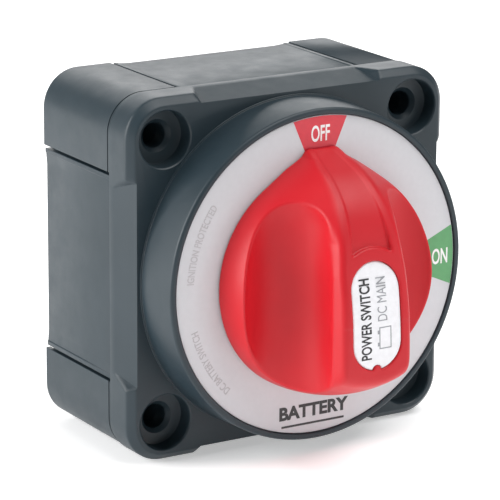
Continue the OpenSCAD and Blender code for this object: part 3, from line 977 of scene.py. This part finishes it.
SLATE = moulded("slate_plastic", (0.014, 0.026, 0.034), (0.018, 0.031, 0.040), 0.42,
                3400, 0.000022)
RED = moulded("red_plastic", (0.49, 0.008, 0.015), (0.54, 0.010, 0.018), 0.42,
              2600, 0.000012, 45, 0.32)
DIAL_WHITE = printed("dial_white", (0.57, 0.575, 0.60), 0.45, 0.015)
LABEL_WHITE = printed("label_white", (0.80, 0.80, 0.83), 0.38)
INK_RED = printed("ink_red", (0.62, 0.030, 0.050), 0.4)
INK_GREEN = printed("ink_green", (0.10, 0.33, 0.13), 0.4)
INK_WHITE = printed("ink_white", (0.86, 0.86, 0.86), 0.45)
INK_BLACK = printed("ink_black", (0.02, 0.02, 0.022), 0.45, 0.1)
INK_GREY = printed("ink_grey", (0.30, 0.31, 0.33), 0.45, 0.06)
INK_PALE = printed("ink_pale", (0.44, 0.44, 0.46), 0.45, 0.05)
RUBBER = moulded("seal_rubber", (0.012, 0.012, 0.012), (0.02, 0.02, 0.02), 0.75, 1800, 0.00003)
BLACK = moulded("rotor_black", (0.016, 0.016, 0.018), (0.024, 0.024, 0.027), 0.5, 2400, 0.00002)
COPPER = metal("bare_copper", (0.66, 0.30, 0.17), (0.82, 0.42, 0.27), 0.33)
TINNED = metal("tinned_copper", (0.70, 0.66, 0.58), (0.80, 0.77, 0.70), 0.34)
ZINC = metal("zinc_steel", (0.52, 0.53, 0.55), (0.70, 0.71, 0.72), 0.33)


def finish_piece(piece, material, slot, body, *nodes):
    """Gives a piece its material and the body that it rides on; the slot argument is not used.
    """
    piece.data.materials.clear()
    piece.data.materials.append(material)
    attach(piece, body)
    if nodes:
        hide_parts(*nodes)
    return piece


# ---------------------------------------------------------------- the switch

def make_case():
    """Front, rear and the four covers."""
    finish_piece(build_front(), SLATE, "case_plastic", "case", "front_housing")
    finish_piece(build_base(), SLATE, "case_plastic", "case", "rear_base")
    for quarter, side in enumerate(("top", "left", "bottom", "right")):
        cover = build_cover("cover_" + side, quarter)
        finish_piece(cover, SLATE, "case_plastic", "cover_" + side, "side_panel_" + side)


def make_dial():
    """The dial with its coloured fields and words."""
    finish_piece(build_dial(), DIAL_WHITE, "dial_print", "case", "dial_plate")
    finish_piece(sector("off_field", 33.6, 0), INK_RED, "dial_print", "case")
    finish_piece(sector("on_field", 33.4, 3), INK_GREEN, "dial_print", "case")
    off = lettering("off_text", "OFF", 5.9, (0.1, 38.1), 0.1, 0.56)
    finish_piece(off, INK_WHITE, "dial_print", "case")
    on = lettering("on_text", "ON", 5.9, (38.7, -0.35), 0.1, 0.56)
    finish_piece(on, INK_WHITE, "dial_print", "case")
    word = lettering("dial_text", "BATTERY", 4.9, (-1.2, -36.9), 0.2, 1.05, top=WORD_TOP)
    finish_piece(word, INK_BLACK, "dial_print", "case")
    notes = (("upper", "IGNITION PROTECTED", 160), ("lower", "DC BATTERY SWITCH", 210))
    for key, words, middle in notes:
        ring = (NOTE_R, middle)
        note = lettering("note_" + key, words, 2.9, (0, 0), 0.04, 0.72, top=WORD_TOP, ring=ring)
        finish_piece(note, INK_PALE, "dial_print", "case")
    rule = bar("dial_rule", (-11, 8.6), (-40.7, -40.1))
    finish_piece(rule, INK_BLACK, "dial_print", "case")


def make_knob():
    """The knob, its label and the label's print."""
    step = KNOB_STEP
    finish_piece(build_knob(step), RED, "knob_plastic", "rotor", "knob")
    label = build_label(LABEL_STEP)
    finish_piece(label, LABEL_WHITE, "label_print", "label", "knob_label")
    lines = (("label_text", "POWER SWITCH", 4.3, (-3.1, -4.6), 0.09, 0.66, INK_BLACK),
             ("label_second", "DC MAIN", 4.2, (1.9, 0.2), 0.0, 0.66, INK_GREY))
    for name, words, size, at, bold, stretch, ink in lines:
        text = lettering(name, words, size, at, bold, stretch, 90, label_top)
        finish_piece(text, ink, "label_print", "label")
    finish_piece(build_pictogram(), INK_GREY, "label_print", "label")


def make_terminals():
    """Studs, nuts and washers at the back."""
    places = (-STUD_X, STUD_X)
    for side, x in zip(("left", "right"), places):
        stud = build_stud("stud_" + side, x)
        finish_piece(stud, TINNED, "stud_metal", "case", "terminal_stud_" + side)
    nuts = join("terminal_nuts", [build_nut("n1", -STUD_X), build_nut("n2", STUD_X)])
    finish_piece(nuts, ZINC, "zinc_steel", "case", "stud_nuts")
    flats = [build_washer("w", x, FLAT_WASHER_R, FLAT_WASHER_Z) for x in places]
    finish_piece(join("terminal_washers", flats), ZINC, "zinc_steel", "case", "flat_washers")
    rings = [build_washer("s", x, SPRING_WASHER_R, SPRING_WASHER_Z, SPLIT) for x in places]
    rings = join("terminal_spring_washers", rings)
    finish_piece(rings, ZINC, "zinc_steel", "case", "spring_washers")


def keep_side(piece, side):
    """Leaves only the half of a piece that is left (-1) or right (1) of the middle."""
    bm = bmesh.new()
    bm.from_mesh(piece.data)
    away = [v for v in bm.verts if v.co.x * side < 0]
    bmesh.ops.delete(bm, geom=away, context="VERTS")
    bm.to_mesh(piece.data)
    bm.free()


def make_springs():
    """The contact spring pair and the detent springs, split into a left and a right one."""
    pair = from_node("contact_springs", "contact_spring_pair")
    finish_spring(pair, "contact_springs")
    for side, name in ((-1, "left"), (1, "right")):
        spring = from_node("detent_springs", "detent_spring_" + name)
        keep_side(spring, side)
        finish_spring(spring, "detent_springs")


def finish_spring(piece, node):
    """Gives a spring its zinc material, bakes its placement into its mesh and hides the node it
    replaces.
    """
    piece.data.materials.clear()
    piece.data.materials.append(ZINC)
    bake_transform(piece)
    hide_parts(node)


def finish_nodes():
    """Materials for every carried-over node, by its slot."""
    looks = {"seal_rubber": RUBBER, "rotor_plastic": BLACK, "contact_copper": COPPER}
    looks.update({"stud_metal": TINNED, "zinc_steel": ZINC, "case_plastic": SLATE})
    looks.update({"knob_plastic": RED, "dial_print": DIAL_WHITE, "label_print": LABEL_WHITE})
    for part in frame["record"]["subparts"]:
        node = frame["nodes"][part["node"]]
        node.data.materials.clear()
        node.data.materials.append(looks[part["material_slot"]])


# ---------------------------------------------------------------- stage

FLOOR_HALF = 3.0
FLOOR_DROP = 0.0005
FLOOR_GLOW = 0.4
WORLD_LIGHT = 0.22
WORLD_SEEN = 1.0
CAMERA_AZ = -31.602
CAMERA_EL = 15.395
CAMERA_ROLL = 0.405
CAMERA_BACK = 0.8504
CAMERA_AIM = (0, -0.030, 0)
LENS = 226.2
SHIFT = (-0.0129, -0.0039)


def make_floor():
    """Plain pale floor just below the case."""
    size = FLOOR_HALF
    z = cad_low.z - FLOOR_DROP
    mesh = bpy.data.meshes.new("floor")
    points = [(-size, -size, z), (size, -size, z), (size, size, z), (-size, size, z)]
    mesh.from_pydata(points, [], [(0, 1, 2, 3)])
    floor = bpy.data.objects.new("floor", mesh)
    bpy.context.scene.collection.objects.link(floor)
    n = Nodes("floor_paper")
    tone = n.ramp(n.noise(3, 2), (0.90, 0.90, 0.90), (0.92, 0.92, 0.92))
    n.set(Emission_Color=(1, 1, 1, 1), Emission_Strength=FLOOR_GLOW)
    mesh.materials.append(n.set(Base_Color=tone, Roughness=0.9, Specular_IOR_Level=0.0))


def area(name, at, target, size, power, colour=(1, 1, 1)):
    """One soft rectangular light, hidden from the camera."""
    light = bpy.data.lights.new(name, "AREA")
    light.shape = "RECTANGLE"
    light.size, light.size_y = size
    light.energy = power
    light.color = colour
    holder = bpy.data.objects.new(name, light)
    bpy.context.scene.collection.objects.link(holder)
    holder.location = at
    away = Vector(target) - Vector(at)
    holder.visible_camera = False
    holder.rotation_mode = "QUATERNION"
    holder.rotation_quaternion = away.to_track_quat("-Z", "Y")


def make_light():
    """Soft light: dim surround, boxes above, at the left and behind, and a narrow strip."""
    world = bpy.data.worlds.new("studio")
    bpy.context.scene.world = world
    world.use_nodes = True
    tree = world.node_tree
    back = tree.nodes["Background"]
    back.inputs["Color"].default_value = (1, 1, 1, 1)
    ray = tree.nodes.new("ShaderNodeLightPath")
    level = tree.nodes.new("ShaderNodeMapRange")
    level.inputs["To Min"].default_value = WORLD_LIGHT
    level.inputs["To Max"].default_value = WORLD_SEEN
    tree.links.new(ray.outputs["Is Camera Ray"], level.inputs["Value"])
    tree.links.new(level.outputs["Result"], back.inputs["Strength"])
    area("top", (0.24, -0.30, 0.82), (0, 0, 0), (0.8, 0.7), 7.5)
    area("left", (-0.95, 0.22, 0.25), (0, 0, 0), (0.7, 0.9), 15)
    area("strip", (0.55, -0.78, 0.18), (0, -0.05, 0), (0.10, 0.5), 0.8)
    area("behind", (0.35, 0.85, 0.42), (0, 0, 0), (1.0, 0.5), 4.0)


def make_camera():
    """Camera at the photograph's viewing angle."""
    az, el, roll = (math.radians(v) for v in (CAMERA_AZ, CAMERA_EL, CAMERA_ROLL))
    back = Vector((math.sin(az) * math.cos(el), -math.cos(az) * math.cos(el), math.sin(el)))
    lens = bpy.data.cameras.new("camera")
    lens.sensor_width = 36.0
    lens.lens = LENS
    lens.shift_x, lens.shift_y = SHIFT
    lens.clip_start, lens.clip_end = 0.05, 20
    camera = bpy.data.objects.new("camera", lens)
    bpy.context.scene.collection.objects.link(camera)
    camera.location = Vector(CAMERA_AIM) + back * CAMERA_BACK
    camera.rotation_mode = "QUATERNION"
    aim = (-back).to_track_quat("-Z", "Y")
    camera.rotation_quaternion = aim @ Matrix.Rotation(roll, 4, "Z").to_quaternion()
    bpy.context.scene.camera = camera
    bpy.context.scene.view_settings.view_transform = "Standard"
    bpy.context.scene.view_settings.look = "None"


finish_nodes()
make_case()
make_dial()
make_knob()
make_terminals()
make_springs()
make_floor()
make_light()
make_camera()
